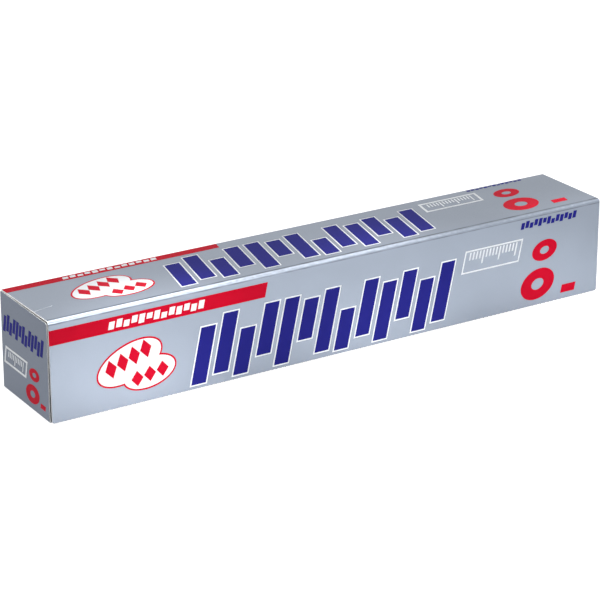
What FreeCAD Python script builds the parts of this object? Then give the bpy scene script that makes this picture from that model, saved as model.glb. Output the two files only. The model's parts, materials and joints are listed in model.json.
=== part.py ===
"""A carton of household aluminium foil: a card tray, its hinged lid, a saw blade, and the wound roll inside.

Millimetres. X runs along the carton, -Y is its front and +Z is up.
The origin is at the middle of the footprint, on the surface that the carton stands on.
"""
import FreeCAD, Part

import math
import os

from FreeCAD import Vector

# The foil and its card core
FOIL_WIDTH = 250.0
FOIL_LENGTH = 8000.0
FOIL_GAUGE = 0.012
WINDING_FILL = 0.93          # share of the wound ring that is metal, the rest is air
CORE_BORE_RADIUS = 14.0
CORE_WALL = 1.25
CORE_OVERHANG = 2.0          # how far the core stands out of the foil at each end
CORE_CLEARANCE = 0.05        # between the core and the innermost turn
LAP_STEP = 0.2               # height of the step where the outermost turn ends
LAP_ANGLE = 125.0            # where that step lies, in degrees round from the back
TURN_GROOVES = 3             # rings seen between the turns on each end of the roll
TURN_GROOVE_WIDTH = 0.1
TURN_GROOVE_DEPTH = 0.3

# The card, its folds, and the room round the roll
CARD = 0.45
CREASE_RADIUS = 0.4          # inside a plain crease
FRONT_FOLD_RADIUS = 0.85     # inside the softer fold along the lid's front
ROLL_PLAY = 5.7              # free depth beside the roll
HEADROOM = 7.7               # free height over the roll
END_PLAY = 3.1               # free length past each end of the core
SEAT_GAP = 0.1               # between the roll and the floor it lies on

# The tray's walls and flaps
FOIL_EXIT = 3.5              # the front wall stops this far under the lid
THUMB_WIDTH = 64.0
THUMB_DEPTH = 6.0
THUMB_CORNER = 3.5
DUST_FLAP_REACH = 16.0
DUST_FLAP_TAPER = 2.5
END_FLAP_GAP = 0.1           # between an end flap and the lid over it
END_FLAP_CORNER = 0.8

# The lid, which has sprung slightly away from the tray
LID_INSET = 0.3              # the lid stops this far inside each end face
LID_RISE = 0.5               # the front fold stands this much over the hinge
FLAP_LEAN = 1.0              # the front flap stands this much forward at its foot
FLAP_GAP = 0.15              # between the blade and the front wall, before the lean
FLAP_FOOT = 0.6              # from the surface below to the flap's lower edge
FLAP_CORNER = 0.8

# The saw blade, clinched to the inside of the front flap
BLADE_THICKNESS = 0.25
BLADE_WIDTH = 8.5
BLADE_OVERHANG = 1.0         # past the foil at each end
TOOTH_PITCH = 2.0
TOOTH_DEPTH = 1.5
TOOTH_REACH = 0.45           # past the flap's lower edge
CLAW_COUNT = 9
CLAW_WIDTH = 1.4
CLAW_WINDOW = 1.6            # height of the window that a claw is punched from
CLAW_CLEARANCE = 0.03
CLAW_SKIN = 0.15             # card left in front of a claw

TINY = 1e-6

# Sizes that follow
core_radius = CORE_BORE_RADIUS + CORE_WALL
core_length = FOIL_WIDTH + 2 * CORE_OVERHANG
foil_bore = core_radius + CORE_CLEARANCE
roll_radius = math.sqrt(foil_bore ** 2 + FOIL_LENGTH * FOIL_GAUGE / (math.pi * WINDING_FILL))

bend = CREASE_RADIUS + CARD
front_bend = FRONT_FOLD_RADIUS + CARD
flap_standoff = CARD + BLADE_THICKNESS + FLAP_GAP
tray_depth = 2 * roll_radius + ROLL_PLAY + 2 * CARD
lid_depth = tray_depth + flap_standoff
hinge_height = CARD + SEAT_GAP + 2 * roll_radius + HEADROOM + CARD
half_length = core_length / 2 + END_PLAY + 2 * CARD
lid_half_length = half_length - LID_INSET

back = (lid_depth + FLAP_LEAN) / 2
lid_front = back - lid_depth
tray_front = back - tray_depth
lid_height = hinge_height + LID_RISE
front_wall_top = hinge_height - CARD - FOIL_EXIT
end_flap_top = hinge_height - CARD - END_FLAP_GAP
roll_y = (tray_front + back) / 2
roll_z = CARD + SEAT_GAP + roll_radius


def along_x(x):
    """Points of a section across the carton, drawn at one place along it."""
    return lambda y, z: Vector(x, y, z)


def along_y(y):
    """Points of a section along the carton, drawn at one depth."""
    return lambda x, z: Vector(x, y, z)


def along_z(z):
    """Points of a plan, drawn at one height."""
    return lambda x, y: Vector(x, y, z)


def heading(start, end):
    """The unit direction from start to end, and the unit normal on its left."""
    length = math.dist(start, end)
    du, dv = (end[0] - start[0]) / length, (end[1] - start[1]) / length
    return (du, dv), (-dv, du)


def shifted(point, direction, distance):
    return (point[0] + direction[0] * distance, point[1] + direction[1] * distance)


def bend_points(before, corner, after, radius):
    """Where a fold round a corner starts, has its middle and ends, on the card's outer and inner sides."""
    (d1, n1), (d2, n2) = heading(before, corner), heading(corner, after)
    turn = math.acos(max(-1.0, min(1.0, d1[0] * d2[0] + d1[1] * d2[1])))
    reach = radius * math.tan(turn / 2)
    start, end = shifted(corner, d1, -reach), shifted(corner, d2, reach)
    centre = shifted(start, n1, radius)
    outward = heading(centre, corner)[0]
    outer = (start, shifted(centre, outward, radius), end)
    inner = (shifted(start, n1, CARD), shifted(centre, outward, radius - CARD), shifted(end, n2, CARD))
    return outer, inner


def folded_card(path, radii, place, sweep):
    """A strip of card folded along a path of outer corners, its inside on the left, swept along a vector."""
    first, last = heading(path[0], path[1])[1], heading(path[-2], path[-1])[1]
    folds = [bend_points(*path[i:i + 3], radii[i]) for i in range(len(path) - 2)]
    edges = []
    at = path[0]
    for outer, _ in folds:
        edges.append(Part.LineSegment(place(*at), place(*outer[0])).toShape())
        edges.append(Part.Arc(*(place(*p) for p in outer)).toShape())
        at = outer[2]
    edges.append(Part.LineSegment(place(*at), place(*path[-1])).toShape())
    at = shifted(path[-1], last, CARD)
    edges.append(Part.LineSegment(place(*path[-1]), place(*at)).toShape())
    for _, inner in reversed(folds):
        edges.append(Part.LineSegment(place(*at), place(*inner[2])).toShape())
        edges.append(Part.Arc(*(place(*p) for p in reversed(inner))).toShape())
        at = inner[0]
    end = shifted(path[0], first, CARD)
    edges.append(Part.LineSegment(place(*at), place(*end)).toShape())
    edges.append(Part.LineSegment(place(*end), place(*path[0])).toShape())
    return Part.Face(Part.Wire(edges)).extrude(sweep)


def prism(points, place, sweep):
    """A solid with a straight-sided outline, swept along a vector."""
    corners = [place(*p) for p in points]
    return Part.Face(Part.makePolygon(corners + corners[:1])).extrude(sweep)


def edges_along_x(solid, height):
    """The edges of a solid that run along X at a height."""
    level = [edge for edge in solid.Edges if abs(edge.CenterOfMass.z - height) < TINY]
    return [edge for edge in level if abs(abs(edge.tangentAt(edge.FirstParameter).x) - 1) < TINY]


def hinge_crease():
    """Three corners round the hinge crease: one down the back wall, the crease, and one along the lid."""
    corner = (back, hinge_height)
    along_lid = heading(corner, (lid_front, lid_height))[0]
    return (back, hinge_height - 2 * bend), corner, shifted(corner, along_lid, 2 * bend)


def hinge_line():
    """The Y and Z of the line that the lid turns about: the middle of the back crease, on its outer face."""
    outer, _ = bend_points(*hinge_crease(), bend)
    return outer[1]


def past_the_crease(side):
    """What lies near the hinge crease on one side of its middle plane: +1 the lid's, -1 the tray's."""
    outer, inner = bend_points(*hinge_crease(), bend)
    inward, across = heading(outer[1], inner[1])
    reach = 4 * bend
    ends = [shifted(outer[1], inward, -reach), shifted(outer[1], inward, reach)]
    away = [shifted(end, across, -side * reach) for end in reversed(ends)]
    return prism(ends + away, along_x(-half_length), Vector(2 * half_length, 0, 0))


def girth():
    """The front wall, floor and back wall, folded from one strip that ends at the hinge crease's middle."""
    half = half_length - CARD - bend
    _, corner, stub = hinge_crease()
    path = [(tray_front, front_wall_top), (tray_front, 0), (back, 0), corner, stub]
    strip = folded_card(path, [bend] * 3, along_x(-half), Vector(2 * half, 0, 0))
    return strip.cut(past_the_crease(1))


def thumb_recess():
    """The shallow dip in the front wall, where the foil's end is picked up."""
    low = front_wall_top - THUMB_DEPTH
    corner = Vector(-THUMB_WIDTH / 2, tray_front - CARD, low)
    block = Part.makeBox(THUMB_WIDTH, 4 * CARD, 2 * THUMB_DEPTH, corner)
    bottom = [edge for edge in block.Edges if abs(edge.CenterOfMass.z - low) < TINY]
    corners = [edge for edge in bottom if abs(abs(edge.CenterOfMass.x) - THUMB_WIDTH / 2) < TINY]
    return block.makeFillet(THUMB_CORNER, corners)


def end_flap():
    """The outer flap of the right end: folded up from the floor, its three other edges cut."""
    start = half_length - CARD - bend - CREASE_RADIUS
    path = [(start, 0), (half_length, 0), (half_length, end_flap_top)]
    strip = folded_card(path, [bend], along_y(tray_front), Vector(0, tray_depth, 0))
    outline = Part.makeBox(half_length - start, tray_depth, end_flap_top, Vector(start, tray_front, 0))
    outline = outline.makeFillet(bend, edges_along_x(outline, 0))
    outline = outline.makeFillet(END_FLAP_CORNER, edges_along_x(outline, end_flap_top))
    return strip.common(outline)


def dust_flap(wall):
    """The right end's inner flap of one wall, behind the end flap and tapered towards its free edge."""
    face = half_length - CARD
    stub = face - bend - CREASE_RADIUS
    if wall == "front":
        path = [(stub, tray_front), (face, tray_front), (face, tray_front + DUST_FLAP_REACH)]
        root, tip, top = tray_front, tray_front + DUST_FLAP_REACH, front_wall_top
    else:
        path = [(face, back - DUST_FLAP_REACH), (face, back), (stub, back)]
        root, tip, top = back, back - DUST_FLAP_REACH, end_flap_top - bend
    strip = folded_card(path, [bend], along_z(bend), Vector(0, 0, top - bend))
    taper = [(root, bend), (tip, bend + DUST_FLAP_TAPER), (tip, top - DUST_FLAP_TAPER), (root, top)]
    return strip.common(prism(taper, along_x(stub - CARD), Vector(half_length, 0, 0)))


def carton_tray():
    """The tray of the carton, glued up from one blank."""
    right = [end_flap(), dust_flap("front"), dust_flap("back")]
    left = [flap.mirror(Vector(0, 0, 0), Vector(1, 0, 0)) for flap in right]
    return girth().cut(thumb_recess()).fuse(right + left).removeSplitter()


def flap_frame():
    """The foot of the front flap's outer face, the direction up it, and the direction through it."""
    foot = (lid_front - FLAP_LEAN, FLAP_FOOT)
    (du, dv), inward = heading((lid_front, lid_height), foot)
    return foot, (-du, -dv), inward


def on_flap(depth):
    """Points on the front flap: X and the height up from its foot, at a depth behind its outer face."""
    foot, up, inward = flap_frame()

    def place(x, height):
        y, z = shifted(shifted(foot, inward, depth), up, height)
        return Vector(x, y, z)
    return place


def through_flap(distance):
    """The vector through the flap into the carton."""
    inward = flap_frame()[2]
    return Vector(0, inward[0] * distance, inward[1] * distance)


def claw_places():
    """Where the blade's claws stand along it."""
    span = FOIL_WIDTH - TOOTH_PITCH * CLAW_COUNT
    return [span * (i / (CLAW_COUNT - 1) - 0.5) for i in range(CLAW_COUNT)]


def claw(x, clearance, from_depth):
    """One claw, or with a clearance its pocket, from a depth to near the flap's outer face."""
    low = BLADE_WIDTH / 2 - TOOTH_REACH - clearance
    high = low + BLADE_THICKNESS + 2 * clearance
    half = CLAW_WIDTH / 2 + clearance
    outline = [(x - half, low), (x + half, low), (x + half, high), (x - half, high)]
    tip = CLAW_SKIN if clearance else CLAW_SKIN + CLAW_CLEARANCE
    return prism(outline, on_flap(tip), through_flap(from_depth - tip))


def lid():
    """The lid's top and front flap, folded from one strip that starts at the hinge crease's middle."""
    stub, corner, _ = hinge_crease()
    path = [stub, corner, (lid_front, lid_height), flap_frame()[0]]
    sweep = Vector(2 * lid_half_length, 0, 0)
    strip = folded_card(path, [bend, front_bend], along_x(-lid_half_length), sweep)
    shell = strip.cut(past_the_crease(-1))
    ends = [edge for edge in shell.Edges if abs(abs(edge.CenterOfMass.x) - lid_half_length) < TINY]
    feet = [edge for edge in ends if edge.Length < CARD + TINY and edge.CenterOfMass.z < FLAP_FOOT + CARD]
    shell = shell.makeFillet(FLAP_CORNER, feet)
    return shell.cut([claw(x, CLAW_CLEARANCE, 2 * CARD) for x in claw_places()])


def blade_outline():
    """The blade seen square on: a plain back edge, and saw teeth that hang past the flap."""
    count = int((FOIL_WIDTH + 2 * BLADE_OVERHANG) // TOOTH_PITCH)
    half = count * TOOTH_PITCH / 2
    root, tip = TOOTH_DEPTH - TOOTH_REACH, -TOOTH_REACH
    points = [(half, BLADE_WIDTH - TOOTH_REACH), (-half, BLADE_WIDTH - TOOTH_REACH)]
    for i in range(count):
        left = -half + i * TOOTH_PITCH
        points += [(left, root), (left + TOOTH_PITCH / 2, tip)]
    return points + [(half, root)]


def cutter_blade():
    """The blade, with the claws punched out of it that hold it to the card."""
    strip = prism(blade_outline(), on_flap(CARD), through_flap(BLADE_THICKNESS))
    low = BLADE_WIDTH / 2 - TOOTH_REACH + BLADE_THICKNESS
    high = low + CLAW_WINDOW
    windows, claws = [], []
    for x in claw_places():
        left, right = x - CLAW_WIDTH / 2, x + CLAW_WIDTH / 2
        window = [(left, low), (right, low), (right, high), (left, high)]
        windows.append(prism(window, on_flap(CARD), through_flap(BLADE_THICKNESS)))
        claws.append(claw(x, 0, CARD + BLADE_THICKNESS))
    return strip.cut(windows).fuse(claws).removeSplitter()


def core_tube():
    """The card core that the foil is wound on."""
    start, axis = Vector(-core_length / 2, roll_y, roll_z), Vector(1, 0, 0)
    tube = Part.makeCylinder(core_radius, core_length, start, axis)
    return tube.cut(Part.makeCylinder(CORE_BORE_RADIUS, core_length, start, axis))


def winding_outline():
    """The roll's outer face as a spiral of one turn, which ends in the step of the foil's free edge."""
    def spiral(turned):
        angle = math.radians(LAP_ANGLE + turned)
        radius = roll_radius - LAP_STEP * (1 - turned / 360)
        return Vector(-FOIL_WIDTH / 2, roll_y + radius * math.cos(angle), roll_z + radius * math.sin(angle))
    quarters = [Part.Arc(spiral(a), spiral(a + 45), spiral(a + 90)).toShape() for a in range(0, 360, 90)]
    step = Part.LineSegment(spiral(360), spiral(0)).toShape()
    return Part.Wire(quarters + [step])


def foil_roll():
    """The wound foil as one solid, with the last turn's edge and the rings of its turns at both ends."""
    axis = Vector(1, 0, 0)
    roll = Part.Face(winding_outline()).extrude(Vector(FOIL_WIDTH, 0, 0))
    start = Vector(-FOIL_WIDTH / 2, roll_y, roll_z)
    roll = roll.cut(Part.makeCylinder(foil_bore, FOIL_WIDTH, start, axis))
    build = roll_radius - LAP_STEP - foil_bore
    rings = []
    for i in range(TURN_GROOVES):
        middle = foil_bore + build * (i + 1) / (TURN_GROOVES + 1)
        for x in (-FOIL_WIDTH / 2, FOIL_WIDTH / 2 - TURN_GROOVE_DEPTH):
            at = Vector(x, roll_y, roll_z)
            outer = Part.makeCylinder(middle + TURN_GROOVE_WIDTH / 2, TURN_GROOVE_DEPTH, at, axis)
            inner = Part.makeCylinder(middle - TURN_GROOVE_WIDTH / 2, TURN_GROOVE_DEPTH, at, axis)
            rings.append(outer.cut(inner))
    return roll.cut(rings)


def main():
    os.makedirs("parts", exist_ok=True)
    for make in (carton_tray, lid, cutter_blade, foil_roll, core_tube):
        shape = make()
        shape.exportStep(f"parts/{make.__name__}.step")
        box = shape.BoundBox
        print(f"{make.__name__}: solids {len(shape.Solids)}, valid {shape.isValid()},",
              f"volume {shape.Volume:.1f}, x {box.XMin:.2f} to {box.XMax:.2f},",
              f"y {box.YMin:.2f} to {box.YMax:.2f}, z {box.ZMin:.2f} to {box.ZMax:.2f}")
    print("hinge line at y %.4f, z %.4f" % hinge_line())
    print(f"roll radius {roll_radius:.3f} about y {roll_y:.3f}, z {roll_z:.3f}")


main()
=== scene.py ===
import json
import math

import bmesh
import bpy
from mathutils import Matrix, Vector, noise


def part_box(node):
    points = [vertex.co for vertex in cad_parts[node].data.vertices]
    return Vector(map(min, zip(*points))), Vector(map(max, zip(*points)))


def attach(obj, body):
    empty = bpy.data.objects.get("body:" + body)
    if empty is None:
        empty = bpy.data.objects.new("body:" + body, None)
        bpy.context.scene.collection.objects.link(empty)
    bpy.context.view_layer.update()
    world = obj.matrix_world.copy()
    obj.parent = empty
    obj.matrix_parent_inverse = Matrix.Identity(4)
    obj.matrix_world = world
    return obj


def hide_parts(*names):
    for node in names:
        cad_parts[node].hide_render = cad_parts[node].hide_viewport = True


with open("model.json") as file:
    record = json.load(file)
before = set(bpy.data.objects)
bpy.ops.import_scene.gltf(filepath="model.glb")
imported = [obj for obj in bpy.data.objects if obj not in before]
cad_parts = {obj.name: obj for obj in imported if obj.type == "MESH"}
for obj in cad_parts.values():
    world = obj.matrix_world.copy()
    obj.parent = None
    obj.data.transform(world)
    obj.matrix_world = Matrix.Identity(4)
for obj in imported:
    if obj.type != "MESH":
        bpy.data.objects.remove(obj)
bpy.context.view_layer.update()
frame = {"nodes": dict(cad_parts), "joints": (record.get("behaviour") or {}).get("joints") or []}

MM = 0.001

# The card and its folds, in millimetres, as the solids have them
CARD = 0.45
CREASE = 0.85
FRONT_FOLD = 1.3
FLAP_LEAN = 1.0
LID_RISE = 0.5
FLAP_FOOT = 0.6
FLAP_CORNER = 0.8
RIM_ROUND = 0.12
HINGE_GROOVE = 0.07

# Places that the solids give, in millimetres
lid_low, lid_high = (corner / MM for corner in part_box("lid"))
tray_low, tray_high = (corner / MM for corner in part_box("carton_tray"))
foil_low, foil_high = (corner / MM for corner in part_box("foil_roll"))
core_low, core_high = (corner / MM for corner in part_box("core_tube"))
hinge = Vector(frame["joints"][0]["pos_m"]) / MM

half_lid = lid_high.x
half_tray = tray_high.x
back = tray_high.y
lid_front = lid_low.y + FLAP_LEAN
hinge_height = hinge.z + CREASE * (1 - math.sqrt(0.5))
lid_height = hinge_height + LID_RISE
roll_y = (core_low.y + core_high.y) / 2
roll_z = (core_low.z + core_high.z) / 2

# The print, in millimetres: heights are counted from the foot of the row of bars
SLANT = 0.22
BARS_FOOT_FRONT = 39.6       # under the front fold
BARS_FOOT_TOP = 5.2          # behind the front fold
STRIPE_LENGTH = 94.3
STRIPE_FOOT, STRIPE_TOP = 29.75, 35.85
INK_LIFT = 0.03
OVERPRINT = 0.012
INK_SINK = 0.02


def srgb(red, green, blue):
    """A colour given as it shows on a screen, 0 to 255, as the linear values that a material takes."""
    def linear(value):
        share = value / 255
        return share / 12.92 if share <= 0.04045 else ((share + 0.055) / 1.055) ** 2.4
    return (linear(red), linear(green), linear(blue), 1.0)


SILVER = srgb(130, 138, 150)
# A darker copy of the silver for the end flaps: painted shade.
SHADED_END_SILVER = srgb(98, 106, 120)
# A dark silver for the folds at the tray's front corners: painted shade, for the dark gap beside the lid's flap.
CORNER_SHADE_SILVER = srgb(42, 48, 60)
RED = srgb(192, 10, 40)
NAVY = srgb(34, 34, 120)
WHITE = srgb(229, 232, 235)
RAW_CARD = srgb(248, 249, 250)
INSIDE_CARD = srgb(182, 179, 171)
KRAFT = srgb(164, 136, 104)
FOIL = srgb(172, 174, 179)
STEEL = srgb(166, 168, 172)


# Plane geometry of a folded card

def heading(start, end):
    """The unit direction from start to end, and the unit normal on its left."""
    along = (end - start).normalized()
    return along, Vector((-along.y, along.x))


def fold_arc(before, corner, after, radius, steps):
    """Points round the outer side of a fold, each with its outward normal."""
    (along_in, left_in), (along_out, _) = heading(before, corner), heading(corner, after)
    turn = along_in.angle(along_out)
    centre = corner - along_in * radius * math.tan(turn / 2) + left_in * radius
    points = []
    for step in range(steps + 1):
        angle = turn * step / steps
        normal = Vector((
            -left_in.x * math.cos(angle) + left_in.y * math.sin(angle),
            -left_in.y * math.cos(angle) - left_in.x * math.sin(angle)))
        points.append((centre + normal * radius, normal))
    return points


def flat_run(start, end, fine, fine_step, coarse_step):
    """Points between two ends of a flat stretch, close together near the ends, each with its outward normal."""
    along, left = heading(start, end)
    length = (end - start).length
    near = [fine_step * (step + 1) for step in range(int(fine / fine_step))]
    middle_steps = max(1, int((length - 2 * fine) / coarse_step))
    middle = [fine + (length - 2 * fine) * step / middle_steps for step in range(1, middle_steps)]
    far = [length - place for place in reversed(near)]
    return [(start + along * place, -left) for place in near + middle + far]


def lid_section():
    """The lid's outer line from the hinge to the flap's foot: Y and Z, normal, and distance from the front fold."""
    corner, front = Vector((back, hinge_height)), Vector((lid_front, lid_height))
    foot = Vector((lid_front - FLAP_LEAN, FLAP_FOOT))
    crease = fold_arc(corner - Vector((0, 1)), corner, front, CREASE, 8)[4:]
    fold = fold_arc(corner, front, foot, FRONT_FOLD, 14)
    top = flat_run(crease[-1][0], fold[0][0], 1.6, 0.16, 3.0)
    flap = flat_run(fold[-1][0], foot, 1.6, 0.16, 3.0)
    line = crease + top + fold + flap + [(foot, flap[-1][1])]
    middle = len(crease) + len(top) + len(fold) // 2
    reach = [0.0]
    for (here, _), (there, _) in zip(line, line[1:]):
        reach.append(reach[-1] + (there - here).length)
    return [(point, normal, place - reach[middle]) for (point, normal), place in zip(line, reach)]


# The front fold: its relief, painted shade in its score lines, and rubbed print with a painted highlight on its bead

BEAD_HALF = 1.05
SCORE_WIDTH = 0.14
SCORE_DEPTH = 0.07
CRINKLE = 0.035


def fold_relief(x, place):
    """How far the card stands out at the front fold: two score lines, and small crinkles in the bead between."""
    aside = abs(place)
    if aside > 3.0:
        return 0.0
    score = -SCORE_DEPTH * math.exp(-((aside - BEAD_HALF - 0.1) / SCORE_WIDTH) ** 2)
    bead = max(0.0, 1 - (aside / BEAD_HALF) ** 2)
    worn = 0.5 + 0.5 * (x + half_lid) / (2 * half_lid)
    fine = noise.noise(Vector((x / 0.9, place / 0.5, 3.0)))
    broad = noise.noise(Vector((x / 4.5, place / 1.5, 8.0)))
    return score + CRINKLE * worn * bead * (0.7 * fine + 1.1 * broad)


def fold_rub_and_highlight(x, place):
    """How far the print on the front fold's bead is lightened, from 0 to 1: rubbed print with a painted highlight,
    less and less towards the right.
    """
    along = (x + half_lid) / (2 * half_lid)
    late = min(1.0, max(0.0, (along - 0.3) / 0.55))
    fade = 1 - 0.72 * late * late * (3 - 2 * late)
    bead = max(0.0, 1 - (abs(place) / (BEAD_HALF * (0.88 - 0.4 * along))) ** 4)
    patchy = 0.8 + (0.3 + 0.5 * along) * noise.noise(Vector((x / 1.6, place, 21.0)))
    return min(1.0, max(0.0, bead * patchy * fade))


def fold_painted_score_shade(x, place):
    """How much painted shade lies in the two score lines, from 0 to 1."""
    middle, width, depth = (BEAD_HALF + 0.35, 0.42, 0.8) if place < 0 else (BEAD_HALF + 0.16, 0.2, 0.6)
    patchy = depth + 0.5 * noise.noise(Vector((x / 5, place / 3, 40.0)))
    return max(0.0, patchy) * math.exp(-((abs(place) - middle) / width) ** 2)


# Meshes

def mesh_piece(name, points, faces, materials, indices=None):
    """An object from points in millimetres."""
    mesh = bpy.data.meshes.new(name)
    mesh.from_pydata([tuple(value * MM for value in point) for point in points], [], faces)
    for material in materials:
        mesh.materials.append(material)
    if indices:
        mesh.polygons.foreach_set("material_index", indices)
    mesh.update()
    piece = bpy.data.objects.new(name, mesh)
    bpy.context.scene.collection.objects.link(piece)
    return piece


def smooth(piece, degrees):
    """Smooth shading, with edges sharper than an angle left sharp."""
    piece.data.shade_smooth()
    piece.data.set_sharp_from_angle(angle=math.radians(degrees))


def lid_piece(printed, inside, raw):
    """The lid: one folded strip of card, printed outside, with raw edges all round."""
    line = lid_section()
    start, end = line[0][2], line[-1][2]
    columns = int(2 * half_lid / 0.9)
    inner_half = half_lid - RIM_ROUND
    shares = [-1.0] + [(2 * step / (columns - 2) - 1) * inner_half / half_lid for step in range(columns - 1)] + [1.0]
    points, rub_and_highlight, painted_score_shade = [], [], []
    for side in (0, 1):
        for point, normal, place in line:
            trim = 0.0
            if end - place < FLAP_CORNER:
                trim = FLAP_CORNER - math.sqrt(FLAP_CORNER ** 2 - (FLAP_CORNER - end + place) ** 2)
            groove = HINGE_GROOVE * math.exp(-((place - start) / 0.3) ** 2)
            for column, share in enumerate(shares):
                x = share * (half_lid - trim)
                out = -CARD if side else -RIM_ROUND if column in (0, columns) else fold_relief(x, place) - groove
                yz = point + normal * out
                points.append((x, yz.x, yz.y))
                rub_and_highlight.append(0.0 if side else fold_rub_and_highlight(x, place))
                painted_score_shade.append(0.0 if side else fold_painted_score_shade(x, place))
    rows, across = len(line), columns + 1
    other = rows * across
    faces, indices = [], []

    def add(material, *corners):
        faces.append(corners)
        indices.append(material)

    for row in range(rows - 1):
        for column in range(columns):
            a = row * across + column
            b, c, d = a + 1, a + 1 + across, a + across
            add(2 if column in (0, columns - 1) and line[row][2] < 0 else 0, a, d, c, b)
            add(1, other + a, other + b, other + c, other + d)
        a, d = row * across, (row + 1) * across
        add(2, a, other + a, other + d, d)
        b, c = a + columns, d + columns
        add(2, b, c, other + c, other + b)
    last = (rows - 1) * across
    for column in range(columns):
        a, b = column, column + 1
        add(1, a, b, other + b, other + a)
        a, b = last + column, last + column + 1
        add(2, a, other + a, other + b, b)
    piece = mesh_piece("lid_card", points, faces, [printed, inside, raw], indices)
    # Masks of the front fold: painted shade in the score lines, and rubbed print with a painted highlight on the
    # bead.
    for name, values in (("rub_and_highlight", rub_and_highlight), ("painted_score_shade", painted_score_shade)):
        piece.data.attributes.new(name, "FLOAT", "POINT").data.foreach_set("value", values)
    smooth(piece, 40)
    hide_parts("lid")
    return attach(piece, "lid")


def tray_piece(printed, inside, raw, shaded_end_print, corner_shade):
    """The tray, on the solid's own form, with its printed, inner and cut faces told apart, and painted shade on its
    end flaps and on the folds at its front corners.
    """
    mesh = frame["nodes"]["carton_tray"].data.copy()
    mesh.name = "tray_card"
    mesh.materials.clear()
    for material in (printed, inside, raw, shaded_end_print, corner_shade):
        mesh.materials.append(material)
    walls = (
        (Vector((0, -1, 0)), -tray_low.y), (Vector((0, 1, 0)), tray_high.y), (Vector((0, 0, -1)), 0.0),
        (Vector((1, 0, 0)), half_tray), (Vector((-1, 0, 0)), half_tray))
    for face in mesh.polygons:
        depths = [(reach - outward.dot(face.center) / MM, outward.dot(face.normal)) for outward, reach in walls]
        outer = any(depth < 0.3 * CREASE and facing > 0.4 for depth, facing in depths)
        inner = any(CARD / 2 < depth < CARD + 0.3 * CREASE and facing < -0.4 for depth, facing in depths)
        aside, high = abs(face.center.x) / MM, face.center.z / MM
        faces_end = abs(face.normal.x) > 0.9
        faces_out = face.normal.x * face.center.x > 0 and abs(face.normal.x) > 0.03
        if aside > half_tray - CARD - 0.01 and abs(face.normal.x) < 0.1:
            face.material_index = 2
        # The outer faces of the folds at the front corners take the dark silver: painted shade.
        elif faces_out and abs(face.normal.z) < 0.1 and CARD < half_tray - aside < CARD + CREASE + 0.1:
            face.material_index = 4
        # Outer faces: the end flaps take the darker copy of the silver, which is painted shade; the rest take the
        # plain silver.
        elif outer:
            face.material_index = 3 if faces_end else 0
        elif faces_end and aside > half_tray - 2.5 * CARD:
            face.material_index = 1 if face.normal.x * face.center.x < 0 else 0
        elif inner or (face.center.y / MM > back - CREASE and high > hinge.z - CREASE):
            face.material_index = 1
        else:
            face.material_index = 2
    piece = bpy.data.objects.new("tray_card", mesh)
    bpy.context.scene.collection.objects.link(piece)
    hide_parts("carton_tray")
    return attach(piece, "carton")


# The wound foil and its core

LAP_ANGLE = 125.0
LAP_STEP = 0.2
TURN_RINGS = 16


def roll_point(x, radius, angle):
    return (x, roll_y + radius * math.cos(angle), roll_z + radius * math.sin(angle))


def foil_piece(material):
    """The wound foil: a spiral of one turn outside, and the edges of the turns at both ends."""
    radius, bore = (foil_high.y - foil_low.y) / 2, (core_high.z - core_low.z) / 2
    radius = foil_high.z - roll_z
    around, along = 288, 150
    points, faces = [], []
    for row in range(along + 1):
        x = foil_low.x + (foil_high.x - foil_low.x) * row / along
        for step in range(around + 1):
            share = step / around
            angle = math.radians(LAP_ANGLE) + 2 * math.pi * share
            wave = noise.noise(Vector((x / 26, 2.2 * math.cos(angle), 2.2 * math.sin(angle))))
            dent = noise.noise(Vector((x / 7, 6 * math.cos(angle), 6 * math.sin(angle))))
            slack = LAP_STEP * (1 - share) + 0.05 + 0.05 * wave + 0.02 * dent
            points.append(roll_point(x, radius - slack, angle))
    across = around + 1
    for row in range(along):
        for step in range(around):
            a = row * across + step
            faces.append((a, a + across, a + across + 1, a + 1))
        a, b = row * across, row * across + around
        faces.append((a, b, b + across, a + across))
    for x, inward, first in ((foil_low.x, 1, 0), (foil_high.x, -1, along * across)):
        previous = [first + step for step in range(across)]
        for ring in range(1, TURN_RINGS + 1):
            share = ring / TURN_RINGS
            depth = 0.35 * abs(noise.noise(Vector((ring * 1.7, inward, 5.0)))) if ring < TURN_RINGS else 0.0
            current = []
            for step in range(across):
                angle = math.radians(LAP_ANGLE) + 2 * math.pi * step / around
                outer = radius - LAP_STEP * (1 - step / around) - 0.05
                current.append(len(points))
                points.append(roll_point(x + inward * depth, outer + (bore - outer) * share, angle))
            for step in range(around):
                quad = (previous[step], previous[step + 1], current[step + 1], current[step])
                faces.append(quad if inward > 0 else quad[::-1])
            previous = current
        if inward > 0:
            left_bore = previous
    for step in range(around):
        faces.append((left_bore[step], left_bore[step + 1], previous[step + 1], previous[step]))
    piece = mesh_piece("foil_winding", points, faces, [material])
    smooth(piece, 35)
    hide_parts("foil_roll")
    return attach(piece, "carton")


def core_piece(material):
    """The card core, with its ends' edges rubbed round."""
    bore, outer = 14.0, (core_high.z - core_low.z) / 2
    around, round_off = 120, 0.25
    low, high = core_low.x, core_high.x
    profile = [
        (low + round_off, outer), (low, outer - round_off), (low, bore + round_off), (low + round_off, bore),
        (high - round_off, bore), (high, bore + round_off), (high, outer - round_off), (high - round_off, outer)]
    points, faces = [], []
    for step in range(around):
        angle = 2 * math.pi * step / around
        points += [roll_point(x, radius, angle) for x, radius in profile]
    size = len(profile)
    for step in range(around):
        here, there = step * size, (step + 1) % around * size
        for corner in range(size):
            following = (corner + 1) % size
            faces.append((here + corner, there + corner, there + following, here + following))
    piece = mesh_piece("core_tube_card", points, faces, [material])
    smooth(piece, 50)
    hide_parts("core_tube")
    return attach(piece, "carton")


# Printed shapes: each is an outline, or an outline with another inside it, in a panel's own millimetres

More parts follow.
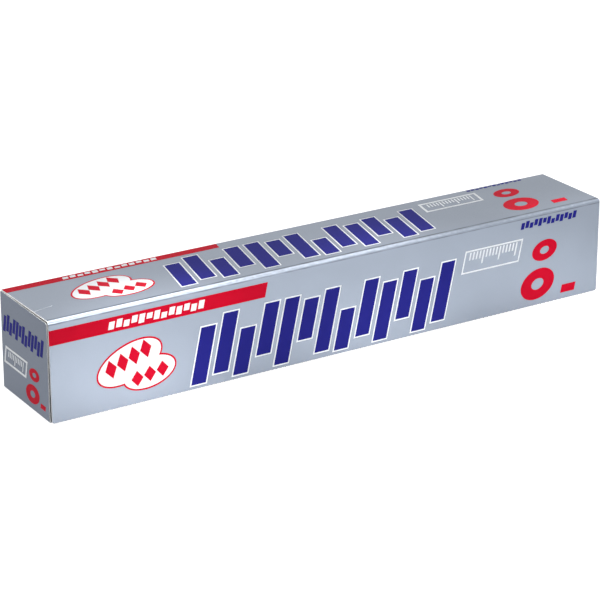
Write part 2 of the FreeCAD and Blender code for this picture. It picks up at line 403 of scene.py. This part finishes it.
def leaning(points):
    return [(u + SLANT * v, v) for u, v in points]


def box_outline(u, v, width, height, grow=0.0):
    """A leaning box with its foot's left corner at u, v, drawn larger by grow on every side."""
    return leaning([
        (u - grow, v - grow), (u + width + grow, v - grow),
        (u + width + grow, v + height + grow), (u - grow, v + height + grow)])


def oval_outline(u, v, half_width, half_height, turn=0.0, grow=0.0, steps=64):
    """An oval about its middle, turned by an angle."""
    points = []
    for step in range(steps):
        angle = 2 * math.pi * step / steps
        a, b = (half_width + grow) * math.cos(angle), (half_height + grow) * math.sin(angle)
        points.append((u + a * math.cos(turn) - b * math.sin(turn), v + a * math.sin(turn) + b * math.cos(turn)))
    return points


def box_mark(u, v, width, height):
    return (box_outline(u, v, width, height), None)


def box_rim(u, v, width, height, rim):
    return (box_outline(u, v, width, height, rim), box_outline(u, v, width, height))


BAR_SPANS = (
    (0.00, 0.86), (0.10, 1.00), (0.00, 0.70), (0.22, 1.00), (0.00, 1.00), (0.30, 0.92),
    (0.04, 1.00), (0.00, 0.62), (0.14, 1.00), (0.00, 0.90), (0.26, 1.00), (0.00, 0.80), (0.08, 1.00))


def bars(u, v, width, height, rim=0.0, full=0.7):
    """A row of leaning bars of uneven height, and the keylines round them."""
    pitch = width / (len(BAR_SPANS) - 1 + full)
    fills, rims = [], []
    for index, (low, high) in enumerate(BAR_SPANS):
        bar = (u + index * pitch, v + low * height, full * pitch, (high - low) * height)
        fills.append(box_mark(*bar))
        if rim:
            rims.append(box_rim(*bar, rim))
    return fills, rims


def ruler(u, v, width, height, rim, count=16):
    """A frame with the marks of a rule in it, every fifth one long."""
    marks = [(box_outline(u, v, width, height), box_outline(u, v, width, height, -rim))]
    pitch = (width - 4 * rim) / count
    thick = 0.42 * pitch
    for index in range(1, count):
        tall = height * (0.58 if index % 5 == 0 else 0.34)
        marks.append(box_mark(u + 2 * rim + index * pitch - thick / 2, v + height - 1.6 * rim - tall, thick, tall))
    return marks


def stacked_rolls(u, v, width, height):
    """Two leaning rolls seen end on, a smaller one over a larger one."""
    rolls = []
    for middle, half_width, half_height in ((0.26, 0.5, 0.26), (0.815, 0.37, 0.175)):
        place = (u + width / 2, v + middle * height)
        outer = oval_outline(*place, half_width * width, half_height * height)
        core = oval_outline(*place, 0.36 * half_width * width, 0.36 * half_height * height)
        rolls.append((leaning(outer), leaning(core)))
    return rolls


BADGE_LOBES = ((33.6, 15.9, 14.3, 7.3, 0.34, 4), (42.1, 10.1, 11.2, 6.0, 0.16, 3))


def badge(rim):
    """A plain badge of two ovals: its red rim, its white ground, and the red lozenges on it."""
    rims, grounds, lozenges = [], [], []
    for u, v, half_width, half_height, turn, count in BADGE_LOBES:
        rims.append((oval_outline(u, v, half_width, half_height, turn, rim), None))
        grounds.append((oval_outline(u, v, half_width, half_height, turn), None))
        pitch = 1.5 * half_width / count
        for index in range(count):
            along, aside = (index - (count - 1) / 2) * pitch, half_height * (0.22 if turn > 0.3 else -0.12)
            place = (u + along * math.cos(turn) - aside * math.sin(turn), v + along * math.sin(turn) + aside * math.cos(turn))
            lozenges.append((oval_outline(*place, 0.55 * half_height, 0.48 * pitch, 1.45 + turn, steps=4), None))
    return rims, grounds, lozenges


def slab(points, faces, shape, panel, top_lift):
    """Adds one printed shape as a thin closed layer on the card."""
    outer, inner = shape
    first, size = len(points), len(outer)
    loops = [outer] if inner is None else [outer, inner]
    for loop in loops:
        for lift in (top_lift, -INK_SINK):
            points += [panel(u, v, lift) for u, v in loop]
    top, foot = list(range(first, first + size)), list(range(first + size, first + 2 * size))
    if inner is None:
        faces.append(tuple(top))
        faces.append(tuple(reversed(foot)))
    else:
        inner_top = [index + 2 * size for index in top]
        inner_foot = [index + 2 * size for index in foot]
    for step in range(size):
        after = (step + 1) % size
        faces.append((top[after], top[step], foot[step], foot[after]))
        if inner is not None:
            faces.append((top[step], top[after], inner_top[after], inner_top[step]))
            faces.append((foot[after], foot[step], inner_foot[step], inner_foot[after]))
            faces.append((inner_top[step], inner_top[after], inner_foot[after], inner_foot[step]))


def printed_piece(name, shapes, panel, material, body, lift=INK_LIFT):
    points, faces = [], []
    for shape in shapes:
        slab(points, faces, shape, panel, lift)
    piece = mesh_piece(name, points, faces, [material])
    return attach(piece, body)


# The panels: where a place in the print lies on the carton

def on_front(u, v, lift):
    """The front flap: u from its left edge, v up from the foot of the bars."""
    fold, foot = Vector((lid_front, lid_height)), Vector((lid_front - FLAP_LEAN, FLAP_FOOT))
    down, left = heading(fold, foot)
    yz = fold + down * (BARS_FOOT_FRONT - v) - left * lift
    return (u - half_lid, yz.x, yz.y)


def on_top(u, v, lift):
    """The lid's top: u from its left edge, v back from the foot of the bars."""
    fold, crease = Vector((lid_front, lid_height)), Vector((back, hinge_height))
    away, left = heading(fold, crease)
    yz = fold + away * (BARS_FOOT_TOP + v) + left * lift
    return (u - half_lid, yz.x, yz.y)


def on_left_end(u, v, lift):
    """The left end flap: u from its back edge, v up from the surface below."""
    return (-half_tray - lift, back - u, v)


def on_right_end(u, v, lift):
    """The right end flap: u from its front edge, v up from the surface below."""
    return (half_tray + lift, tray_low.y + u, v)


def print_long_panel(side, panel, top_of_stripe, frame_rim, inks):
    """The artwork of the front flap, which the lid's top repeats."""
    blue, keylines = bars(60.2, 0.0, 120.0, 27.0, 0.55)
    blue += bars(212.0, min(33.6, top_of_stripe - 1.9), 29.0, min(3.4, top_of_stripe - 32.5), full=0.78)[0]
    rims, grounds, lozenges = badge(0.75)
    red = [(leaning([(-SLANT * STRIPE_FOOT, STRIPE_FOOT), (STRIPE_LENGTH - SLANT * STRIPE_FOOT, STRIPE_FOOT),
                     (STRIPE_LENGTH - SLANT * STRIPE_FOOT, top_of_stripe), (-SLANT * top_of_stripe, top_of_stripe)]), None)]
    red += stacked_rolls(218.8, 0.8, 17.4, 26.4) + [box_mark(241.4, 1.0, 7.4, 3.6)]
    slogan = bars(18.0, STRIPE_FOOT + 1.2, 41.5, min(3.6, top_of_stripe - STRIPE_FOOT - 2.0), full=0.74)[0]
    printed_piece(f"print_{side}_navy", blue, panel, inks["navy"], "lid")
    printed_piece(f"print_{side}_keylines", keylines + ruler(184.8, 19.8, 29.6, 9.8, frame_rim), panel, inks["white"], "lid")
    printed_piece(f"print_{side}_red", red + rims[:1], panel, inks["red"], "lid")
    printed_piece(f"print_{side}_badge_rim", rims[1:], panel, inks["red"], "lid", INK_LIFT + OVERPRINT)
    printed_piece(f"print_{side}_white", slogan + grounds[:1], panel, inks["white"], "lid", INK_LIFT + 2 * OVERPRINT)
    printed_piece(f"print_{side}_badge_ground", grounds[1:], panel, inks["white"], "lid", INK_LIFT + 3 * OVERPRINT)
    printed_piece(f"print_{side}_lozenges", lozenges, panel, inks["red"], "lid", INK_LIFT + 4 * OVERPRINT)


def nick(inks):
    """The thin crease that a knock has left in the lid's top, near its left rim."""
    outline = [
        (0.4, 6.55), (3.0, 7.42), (6.0, 8.02), (8.4, 8.4), (8.9, 8.75), (8.5, 9.0), (8.1, 8.6), (6.0, 8.2),
        (3.0, 7.62), (0.4, 7.05)]
    printed_piece("worn_nick", [(outline, None)], on_top, inks["worn"], "lid")


def print_end(side, panel, inks):
    """The artwork of an end flap: the same shapes, small and stacked."""
    blue, _ = bars(-4.2, 24.8, 33.6, 8.0, full=0.8)
    red = stacked_rolls(18.3, 3.0, 11.4, 15.4) + [box_mark(31.0, 3.8, 4.2, 2.0)]
    printed_piece(f"print_{side}_navy", blue, panel, inks["navy"], "carton")
    printed_piece(f"print_{side}_ruler", ruler(-1.2, 11.6, 19.0, 7.4, 0.95, 11), panel, inks["white"], "carton")
    printed_piece(f"print_{side}_red", red, panel, inks["red"], "carton")


# Materials

def make_grain_group():
    """Fine grain and broad clouds of a surface: a mask of each, and a height for bump."""
    group = bpy.data.node_groups.new("surface_grain", "ShaderNodeTree")
    for name, default in (("Grain Scale", 2500.0), ("Cloud Scale", 30.0), ("Cloud Share", 0.3)):
        socket = group.interface.new_socket(name, in_out="INPUT", socket_type="NodeSocketFloat")
        socket.default_value = default
    for name in ("Grain", "Clouds", "Height"):
        group.interface.new_socket(name, in_out="OUTPUT", socket_type="NodeSocketFloat")
    nodes, links = group.nodes, group.links
    given, put_out = nodes.new("NodeGroupInput"), nodes.new("NodeGroupOutput")
    place = nodes.new("ShaderNodeTexCoord")
    fine, broad = nodes.new("ShaderNodeTexNoise"), nodes.new("ShaderNodeTexNoise")
    fine.inputs["Detail"].default_value = 3.0
    broad.inputs["Detail"].default_value = 2.0
    blend = nodes.new("ShaderNodeMix")
    links.new(place.outputs["Object"], fine.inputs["Vector"])
    links.new(place.outputs["Object"], broad.inputs["Vector"])
    links.new(given.outputs["Grain Scale"], fine.inputs["Scale"])
    links.new(given.outputs["Cloud Scale"], broad.inputs["Scale"])
    links.new(given.outputs["Cloud Share"], blend.inputs["Factor"])
    links.new(fine.outputs["Fac"], blend.inputs["A"])
    links.new(broad.outputs["Fac"], blend.inputs["B"])
    links.new(fine.outputs["Fac"], put_out.inputs["Grain"])
    links.new(broad.outputs["Fac"], put_out.inputs["Clouds"])
    links.new(blend.outputs["Result"], put_out.inputs["Height"])
    return group


grain_group = make_grain_group()


def shaded(name, colour, metallic, roughness):
    """A material with the grain group placed in it, ready to be joined up."""
    material = bpy.data.materials.new(name)
    material.use_nodes = True
    nodes = material.node_tree.nodes
    shader = nodes["Principled BSDF"]
    shader.inputs["Base Color"].default_value = colour
    shader.inputs["Metallic"].default_value = metallic
    shader.inputs["Roughness"].default_value = roughness
    grain = nodes.new("ShaderNodeGroup")
    grain.node_tree = grain_group
    return material, shader, grain


def spread_value(material, source, low, high, target):
    """Joins a mask to a socket, spread between two values."""
    span = material.node_tree.nodes.new("ShaderNodeMapRange")
    span.inputs["From Min"].default_value = 0.3
    span.inputs["From Max"].default_value = 0.7
    span.inputs["To Min"].default_value = low
    span.inputs["To Max"].default_value = high
    material.node_tree.links.new(source, span.inputs["Value"])
    material.node_tree.links.new(span.outputs["Result"], target)


def tint(material, source, dark, light, target):
    """Joins a mask to a colour socket, from one colour to another."""
    ramp = material.node_tree.nodes.new("ShaderNodeValToRGB")
    ramp.color_ramp.elements[0].position = 0.3
    ramp.color_ramp.elements[1].position = 0.7
    ramp.color_ramp.elements[0].color = dark
    ramp.color_ramp.elements[1].color = light
    material.node_tree.links.new(source, ramp.inputs["Fac"])
    material.node_tree.links.new(ramp.outputs["Color"], target)
    return ramp


def emboss(material, source, strength, distance, target):
    """Joins a height to a normal socket by bump."""
    bump = material.node_tree.nodes.new("ShaderNodeBump")
    bump.inputs["Strength"].default_value = strength
    bump.inputs["Distance"].default_value = distance
    material.node_tree.links.new(source, bump.inputs["Height"])
    material.node_tree.links.new(bump.outputs["Normal"], target)


def scaled(colour, share):
    return tuple(min(1.0, value * share) for value in colour[:3]) + (1.0,)


def silver_print(name, silver, shade_and_highlight_masks=()):
    """Silver ink on coated card: satin, with a fine grain, and a colour laid over each mask of the mesh: on the lid,
    painted shade in the score lines and rubbed print with a painted highlight on the bead.
    """
    material, shader, grain = shaded(name, silver, 0.75, 0.44)
    nodes, links = material.node_tree.nodes, material.node_tree.links
    shader.inputs["Specular IOR Level"].default_value = 0.2
    grain.inputs["Grain Scale"].default_value = 3200.0
    grain.inputs["Cloud Scale"].default_value = 26.0
    grain.inputs["Cloud Share"].default_value = 0.25
    clouds = tint(material, grain.outputs["Clouds"], scaled(silver, 0.96), scaled(silver, 1.03), shader.inputs["Base Color"])
    colour = clouds.outputs["Color"]
    # Each mask lays its colour over the silver: painted shade, and rubbed print with a painted highlight.
    for mask_name, worn in shade_and_highlight_masks:
        mask, mixed = nodes.new("ShaderNodeAttribute"), nodes.new("ShaderNodeMix")
        mask.attribute_name = mask_name
        mixed.data_type = "RGBA"
        mixed.inputs["B"].default_value = worn
        links.new(mask.outputs["Fac"], mixed.inputs["Factor"])
        links.new(colour, mixed.inputs["A"])
        colour = mixed.outputs["Result"]
    links.new(colour, shader.inputs["Base Color"])
    spread_value(material, grain.outputs["Grain"], 0.36, 0.46, shader.inputs["Roughness"])
    emboss(material, grain.outputs["Height"], 0.25, 0.00004, shader.inputs["Normal"])
    return material


def ink(name, colour, metallic, roughness):
    """A flat printed colour, with the grain of the card under it."""
    material, shader, grain = shaded(name, colour, metallic, roughness)
    grain.inputs["Grain Scale"].default_value = 3200.0
    shader.inputs["Specular IOR Level"].default_value = 0.025
    tint(material, grain.outputs["Clouds"], scaled(colour, 0.95), scaled(colour, 1.05), shader.inputs["Base Color"])
    spread_value(material, grain.outputs["Grain"], roughness - 0.05, roughness + 0.06, shader.inputs["Roughness"])
    emboss(material, grain.outputs["Height"], 0.2, 0.00004, shader.inputs["Normal"])
    return material


def bare_card(name, colour, grain_scale, roughness, strength):
    """Unprinted card: matt and fibrous."""
    material, shader, grain = shaded(name, colour, 0.0, roughness)
    grain.inputs["Grain Scale"].default_value = grain_scale
    grain.inputs["Cloud Scale"].default_value = 90.0
    tint(material, grain.outputs["Height"], scaled(colour, 0.86), scaled(colour, 1.08), shader.inputs["Base Color"])
    spread_value(material, grain.outputs["Grain"], roughness - 0.08, roughness + 0.05, shader.inputs["Roughness"])
    emboss(material, grain.outputs["Height"], strength, 0.0001, shader.inputs["Normal"])
    return material


def bright_metal(name, colour, roughness, stretch, strength):
    """Rolled metal, with fine lines along one direction."""
    material, shader, grain = shaded(name, colour, 1.0, roughness)
    nodes, links = material.node_tree.nodes, material.node_tree.links
    place, squeeze, lines = (nodes.new(f"ShaderNode{kind}") for kind in ("TexCoord", "Mapping", "TexNoise"))
    squeeze.inputs["Scale"].default_value = stretch
    lines.inputs["Scale"].default_value = 1.0
    lines.inputs["Detail"].default_value = 2.0
    links.new(place.outputs["Object"], squeeze.inputs["Vector"])
    links.new(squeeze.outputs["Vector"], lines.inputs["Vector"])
    tint(material, grain.outputs["Clouds"], scaled(colour, 0.94), scaled(colour, 1.05), shader.inputs["Base Color"])
    spread_value(material, lines.outputs["Fac"], roughness - 0.06, roughness + 0.1, shader.inputs["Roughness"])
    emboss(material, lines.outputs["Fac"], strength, 0.00005, shader.inputs["Normal"])
    return material


# The pieces

silver_card = silver_print("silver_card", SILVER)
# The lid's silver: darker in the score lines, which is painted shade, and lighter on the bead, which is rubbed print
# with a painted highlight.
lid_silver = silver_print("silver_lid", SILVER, (("painted_score_shade", srgb(66, 72, 84)), ("rub_and_highlight", srgb(200, 209, 224))))
# The end flaps' silver, made darker: painted shade.
shaded_end_silver = silver_print("silver_ends_painted_shade", SHADED_END_SILVER)
# The silver of the front corner folds, made dark: painted shade.
corner_shade_silver = silver_print("silver_corner_painted_shade", CORNER_SHADE_SILVER)
inside_card = bare_card("inside_card", INSIDE_CARD, 900.0, 0.8, 0.5)
raw_card = bare_card("raw_card_edge", RAW_CARD, 2200.0, 0.85, 0.6)
kraft_card = bare_card("core_card", KRAFT, 700.0, 0.85, 0.6)
foil_metal = bright_metal("rolled_foil", FOIL, 0.31, (420.0, 14.0, 14.0), 0.04)
blade_metal = bright_metal("blade_steel", STEEL, 0.34, (150.0, 9000.0, 9000.0), 0.06)
inks = {
    "navy": ink("navy_ink", NAVY, 0.0, 0.42),
    "red": ink("red_ink", RED, 0.0, 0.4),
    "white": ink("white_ink", WHITE, 0.0, 0.5),
    "worn": ink("worn_print", srgb(206, 213, 222), 0.0, 0.5),
}

lid_piece(lid_silver, inside_card, raw_card)
tray_piece(silver_card, inside_card, raw_card, shaded_end_silver, corner_shade_silver)
foil_piece(foil_metal)
core_piece(kraft_card)
blade = frame["nodes"]["cutter_blade"]
blade.data.materials.clear()
blade.data.materials.append(blade_metal)
print_long_panel("front", on_front, STRIPE_TOP, 0.62, inks)
print_long_panel("top", on_top, (back - lid_front) - BARS_FOOT_TOP - CREASE, 1.1, inks)
nick(inks)
print_end("left_end", on_left_end, inks)
print_end("right_end", on_right_end, inks)


# The floor, the light and the camera

FLOOR_GLOW = 0.875
AMBIENT = 0.22


def make_floor():
    """A pale floor that shows white, and still takes the carton's shadow."""
    half = 30.0
    mesh = bpy.data.meshes.new("floor")
    mesh.from_pydata([(-half, -half, 0), (half, -half, 0), (half, half, 0), (-half, half, 0)], [], [(0, 1, 2, 3)])
    floor = bpy.data.objects.new("floor", mesh)
    bpy.context.scene.collection.objects.link(floor)
    material = bpy.data.materials.new("pale_floor")
    material.use_nodes = True
    nodes, links = material.node_tree.nodes, material.node_tree.links
    shader = nodes["Principled BSDF"]
    shader.inputs["Base Color"].default_value = (0.5, 0.5, 0.5, 1)
    shader.inputs["Roughness"].default_value = 0.9
    shader.inputs["Specular IOR Level"].default_value = 0.0
    shader.inputs["Emission Color"].default_value = (1, 1, 1, 1)
    shown, glow = seen_rays(nodes, links), nodes.new("ShaderNodeMath")
    glow.operation = "MULTIPLY"
    glow.inputs[1].default_value = FLOOR_GLOW
    links.new(shown, glow.inputs[0])
    links.new(glow.outputs[0], shader.inputs["Emission Strength"])
    mesh.materials.append(material)


def seen_rays(nodes, links):
    """1 for what the camera, a reflection or a glass sees, and 0 for light on the object."""
    path = nodes.new("ShaderNodeLightPath")
    first, both = nodes.new("ShaderNodeMath"), nodes.new("ShaderNodeMath")
    first.operation = both.operation = "MAXIMUM"
    links.new(path.outputs["Is Camera Ray"], first.inputs[0])
    links.new(path.outputs["Is Glossy Ray"], first.inputs[1])
    links.new(first.outputs[0], both.inputs[0])
    links.new(path.outputs["Is Transmission Ray"], both.inputs[1])
    return both.outputs[0]


def make_world():
    world = bpy.data.worlds.new("studio")
    bpy.context.scene.world = world
    world.use_nodes = True
    nodes, links = world.node_tree.nodes, world.node_tree.links
    background = nodes["Background"]
    background.inputs["Color"].default_value = (1, 1, 1, 1)
    shown, level = seen_rays(nodes, links), nodes.new("ShaderNodeMapRange")
    level.inputs["To Min"].default_value = AMBIENT
    level.inputs["To Max"].default_value = 1.0
    links.new(shown, level.inputs["Value"])
    links.new(level.outputs["Result"], background.inputs["Strength"])


def set_up(data, place, aim, power):
    """Stands a light at its place, turned towards its aim."""
    data.energy = power
    light = bpy.data.objects.new(data.name, data)
    light.location = place
    light.rotation_mode = "QUATERNION"
    light.rotation_quaternion = (Vector(aim) - Vector(place)).to_track_quat("-Z", "Y")
    bpy.context.scene.collection.objects.link(light)


def panel_light(name, place, aim, size, power):
    data = bpy.data.lights.new(name, "AREA")
    data.shape = "RECTANGLE"
    data.size, data.size_y = size
    set_up(data, place, aim, power)


def floor_light(name, x, power):
    """A spot on the floor in front of the carton, which the silver of the front flap reflects."""
    data = bpy.data.lights.new(name, "SPOT")
    data.spot_size, data.spot_blend, data.shadow_soft_size = math.radians(14.5), 0.9, 0.03
    set_up(data, (x, -0.09, 0.5), (x, -0.062, 0), power)


def make_camera():
    """The camera at the photograph's viewing angle: it turns about a point in the carton's middle."""
    azimuth, elevation, roll = (math.radians(angle) for angle in (-32.54, 22.17, 0.5))
    distance, focal_pixels = 0.976, 2395.0
    across, above = 0.00613, 0.00451
    centre = Vector((0, 0.0005, 0.021))
    backward = Vector((
        math.sin(azimuth) * math.cos(elevation), -math.cos(azimuth) * math.cos(elevation), math.sin(elevation)))
    level = Vector((math.cos(azimuth), math.sin(azimuth), 0))
    upward = backward.cross(level)
    right = level * math.cos(roll) + upward * math.sin(roll)
    up = upward * math.cos(roll) - level * math.sin(roll)
    data = bpy.data.cameras.new("camera")
    data.lens = focal_pixels / 600 * data.sensor_width
    data.clip_start, data.clip_end = 0.01, 100
    camera = bpy.data.objects.new("camera", data)
    turn = Matrix((right, up, backward)).transposed().to_4x4()
    camera.matrix_world = Matrix.Translation(centre - right * across - up * above + backward * distance) @ turn
    bpy.context.scene.collection.objects.link(camera)
    bpy.context.scene.camera = camera


make_floor()
make_world()
panel_light("over", (0, 0, 1.1), (0, 0, 0.04), (0.8, 0.8), 5.6)
panel_light("behind", (0.1, 0.6, 0.7), (0, 0, 0.04), (0.8, 0.5), 1.6)
panel_light("left", (-0.95, -0.1, 0.25), (-0.13, 0, 0.02), (0.5, 0.5), 3.1)
panel_light("low_front", (0.12, -0.5, 0.07), (0.02, -0.02, 0.02), (0.3, 0.1), 1.05)
floor_light("floor_left", -0.09, 38.0)
floor_light("floor_middle", 0.02, 26.0)
floor_light("floor_right", 0.12, 21.0)
make_camera()
bpy.context.scene.view_settings.view_transform = "Standard"
